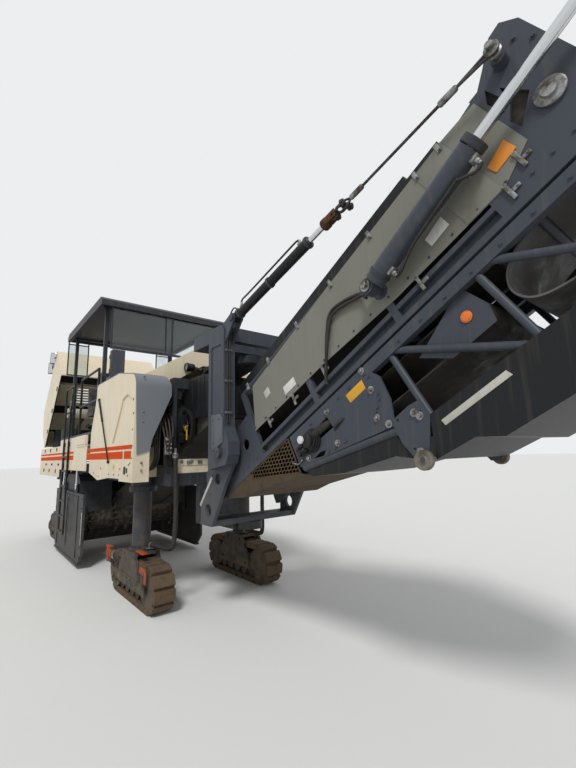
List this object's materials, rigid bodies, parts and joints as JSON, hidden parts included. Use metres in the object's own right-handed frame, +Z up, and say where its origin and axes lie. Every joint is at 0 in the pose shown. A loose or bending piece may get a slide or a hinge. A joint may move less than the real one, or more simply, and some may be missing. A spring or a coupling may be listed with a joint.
{
  "type": "cold planer",
  "caption": "Front-loading cold planer on four crawler tracks, with a raised engine hood, a canopy platform and a slewing discharge conveyor folded under itself",
  "frame": {"origin": "centre of the bounding box's bottom face, on the ground under the machine", "axes": "+X is the direction of travel and discharge, +Y the machine's left side, +Z up"},
  "size_m": [13.0974, 2.48, 4.58],
  "materials": {
    "dark_steel": "satin paint",
    "cream_paint": "gloss paint",
    "orange_paint": "gloss paint",
    "grey_paint": "gloss paint",
    "black_paint": "satin paint",
    "grey_steel": "satin paint",
    "muffler_steel": "dull heat-proof paint",
    "belt_rubber": "dull",
    "dusty_steel": "dusty paint",
    "dusty_track": "dusty",
    "worn_steel": "worn",
    "tinted_glass": "tinted",
    "blue_grey_steel": "satin paint",
    "grey_green_paint": "satin paint",
    "mesh_steel": "dusty paint",
    "tray_rubber": "dusty",
    "chrome_rod": "polished"
  },
  "bodies": {
    "chassis": {"main_frame": "dark_steel", "drum_housing": "dark_steel", "front_body": "cream_paint", "middle_body": "cream_paint", "rear_body": "cream_paint", "stripes": "orange_paint", "fairings": "grey_paint", "platform": "dark_steel", "railings": "black_paint", "post_sleeves": "dark_steel", "ladder": "black_paint", "engine": "grey_steel", "muffler": "muffler_steel", "blower": "black_paint", "feed_conveyor": "belt_rubber", "lamps": "black_paint", "column_sleeves": "dark_steel", "slew_bracket": "dark_steel", "nose_hood": "cream_paint", "feed_hood": "black_paint", "side_box": "blue_grey_steel"},
    "leg_fr": {"column_fr": "grey_steel"},
    "track_fr": {"track_frame_fr": "dusty_steel", "track_loop_fr": "dusty_track"},
    "leg_fl": {"column_fl": "grey_steel"},
    "track_fl": {"track_frame_fl": "dusty_steel", "track_loop_fl": "dusty_track"},
    "leg_rr": {"column_rr": "grey_steel"},
    "track_rr": {"track_frame_rr": "dusty_steel", "track_loop_rr": "dusty_track"},
    "leg_rl": {"column_rl": "grey_steel"},
    "track_rl": {"track_frame_rl": "dusty_steel", "track_loop_rl": "dusty_track"},
    "drum": {"milling_drum": "worn_steel"},
    "side_plate_r": {"side_plate_r": "dark_steel"},
    "side_plate_l": {"side_plate_l": "dark_steel"},
    "scraper": {"scraper": "dark_steel"},
    "hood": {"hood": "cream_paint"},
    "canopy": {"canopy": "dark_steel", "canopy_glass": "tinted_glass"},
    "gantry": {"gantry": "blue_grey_steel"},
    "inner_conveyor": {"inner_frame": "blue_grey_steel", "inner_panels": "grey_green_paint", "inner_cover": "black_paint", "inner_belt": "belt_rubber", "foot_mesh": "mesh_steel", "foot_tray": "tray_rubber"},
    "outer_conveyor": {"outer_frame": "blue_grey_steel", "outer_cover": "black_paint", "outer_belt": "belt_rubber"},
    "luff_barrel_r": {"luff_barrel_r": "black_paint"},
    "luff_rod_r": {"luff_rod_r": "chrome_rod"},
    "fold_barrel_r": {"fold_barrel_r": "blue_grey_steel"},
    "fold_rod_r": {"fold_rod_r": "chrome_rod"},
    "wheel_r": {"wheel_r": "dusty_steel"},
    "luff_barrel_l": {"luff_barrel_l": "black_paint"},
    "luff_rod_l": {"luff_rod_l": "chrome_rod"},
    "fold_barrel_l": {"fold_barrel_l": "blue_grey_steel"},
    "fold_rod_l": {"fold_rod_l": "chrome_rod"},
    "wheel_l": {"wheel_l": "dusty_steel"}
  },
  "joints": [
    {"name": "lift_fr", "type": "slide", "parent": "chassis", "child": "leg_fr", "axis": [0, 0, 1], "range_m": [-0.1, 0.7]},
    {"name": "steer_fr", "type": "hinge", "parent": "leg_fr", "child": "track_fr", "pos_m": [0.35287, -0.807, 0.645], "axis": [0, 0, 1], "range_deg": [-15, 15]},
    {"name": "lift_fl", "type": "slide", "parent": "chassis", "child": "leg_fl", "axis": [0, 0, 1], "range_m": [-0.1, 0.7]},
    {"name": "steer_fl", "type": "hinge", "parent": "leg_fl", "child": "track_fl", "pos_m": [0.35287, 0.807, 0.645], "axis": [0, 0, 1], "range_deg": [-15, 15]},
    {"name": "lift_rr", "type": "slide", "parent": "chassis", "child": "leg_rr", "axis": [0, 0, 1], "range_m": [-0.1, 0.7]},
    {"name": "steer_rr", "type": "hinge", "parent": "leg_rr", "child": "track_rr", "pos_m": [-5.09713, -0.807, 0.645], "axis": [0, 0, 1], "range_deg": [-15, 15]},
    {"name": "lift_rl", "type": "slide", "parent": "chassis", "child": "leg_rl", "axis": [0, 0, 1], "range_m": [-0.1, 0.7]},
    {"name": "steer_rl", "type": "hinge", "parent": "leg_rl", "child": "track_rl", "pos_m": [-5.09713, 0.807, 0.645], "axis": [0, 0, 1], "range_deg": [-15, 15]},
    {"name": "drum_spin", "type": "hinge", "parent": "chassis", "child": "drum", "pos_m": [-2.94713, 0, 0.89], "axis": [0, 1, 0], "continuous": true},
    {"name": "side_plate_lift_r", "type": "slide", "parent": "chassis", "child": "side_plate_r", "axis": [0, 0, 1], "range_m": [0, 0.5]},
    {"name": "side_plate_lift_l", "type": "slide", "parent": "chassis", "child": "side_plate_l", "axis": [0, 0, 1], "range_m": [0, 0.5]},
    {"name": "scraper_lift", "type": "slide", "parent": "chassis", "child": "scraper", "axis": [0, 0, 1], "range_m": [0, 0.5]},
    {"name": "hood_hinge", "type": "hinge", "parent": "chassis", "child": "hood", "pos_m": [-5.99713, 0, 2.18], "axis": [0, -1, 0], "range_deg": [-45, 0]},
    {"name": "canopy_lift", "type": "slide", "parent": "chassis", "child": "canopy", "axis": [0, 0, 1], "range_m": [-0.7, 0]},
    {"name": "slew", "type": "hinge", "parent": "chassis", "child": "gantry", "pos_m": [1.80287, 0, 1.08], "axis": [0, 0, 1], "range_deg": [-60, 60]},
    {"name": "luff", "type": "hinge", "parent": "gantry", "child": "inner_conveyor", "pos_m": [2.30287, 0, 1.88], "axis": [0, -1, 0], "range_deg": [-25, 6]},
    {"name": "fold", "type": "hinge", "parent": "inner_conveyor", "child": "outer_conveyor", "pos_m": [6.09625, 0, 3.56982], "axis": [0, -1, 0], "range_deg": [0, 178]},
    {"name": "luff_barrel_pivot_r", "type": "hinge", "parent": "gantry", "child": "luff_barrel_r", "pos_m": [2.53287, -0.63, 3.31], "axis": [0, -1, 0], "range_deg": [-28.5, 9]},
    {"name": "luff_rod_travel_r", "type": "slide", "parent": "luff_barrel_r", "child": "luff_rod_r", "axis": [0.9619, 0, 0.2735], "range_m": [-0.17, 0.68]},
    {"name": "fold_barrel_pivot_r", "type": "hinge", "parent": "inner_conveyor", "child": "fold_barrel_r", "pos_m": [4.35478, -0.625, 3.01117], "axis": [0, -1, 0], "range_deg": [-42, 3]},
    {"name": "fold_rod_travel_r", "type": "slide", "parent": "fold_barrel_r", "child": "fold_rod_r", "axis": [0.8072, 0, 0.5903], "range_m": [-0.9, 0.02]},
    {"name": "wheel_spin_r", "type": "hinge", "parent": "outer_conveyor", "child": "wheel_r", "pos_m": [4.62114, -0.535, 1.78918], "axis": [0, 1, 0], "continuous": true},
    {"name": "luff_barrel_pivot_l", "type": "hinge", "parent": "gantry", "child": "luff_barrel_l", "pos_m": [2.53287, 0.63, 3.31], "axis": [0, -1, 0], "range_deg": [-28.5, 9]},
    {"name": "luff_rod_travel_l", "type": "slide", "parent": "luff_barrel_l", "child": "luff_rod_l", "axis": [0.9619, 0, 0.2735], "range_m": [-0.17, 0.68]},
    {"name": "fold_barrel_pivot_l", "type": "hinge", "parent": "inner_conveyor", "child": "fold_barrel_l", "pos_m": [4.35478, 0.625, 3.01117], "axis": [0, -1, 0], "range_deg": [-42, 3]},
    {"name": "fold_rod_travel_l", "type": "slide", "parent": "fold_barrel_l", "child": "fold_rod_l", "axis": [0.8072, 0, 0.5903], "range_m": [-0.9, 0.02]},
    {"name": "wheel_spin_l", "type": "hinge", "parent": "outer_conveyor", "child": "wheel_l", "pos_m": [4.62114, 0.535, 1.78918], "axis": [0, 1, 0], "continuous": true}
  ],
  "couplings": [
    {"joint": "luff_barrel_pivot_r", "follows": "luff", "ratio": 1.1181},
    {"joint": "luff_rod_travel_r", "follows": "luff", "m_per_rad": -1.3818},
    {"joint": "fold_barrel_pivot_r", "follows": "fold", "ratio": -0.22527},
    {"joint": "fold_rod_travel_r", "follows": "fold", "m_per_rad": -0.10433},
    {"joint": "luff_barrel_pivot_l", "follows": "luff", "ratio": 1.1181},
    {"joint": "luff_rod_travel_l", "follows": "luff", "m_per_rad": -1.3818},
    {"joint": "fold_barrel_pivot_l", "follows": "fold", "ratio": -0.22527},
    {"joint": "fold_rod_travel_l", "follows": "fold", "m_per_rad": -0.10433}
  ]
}
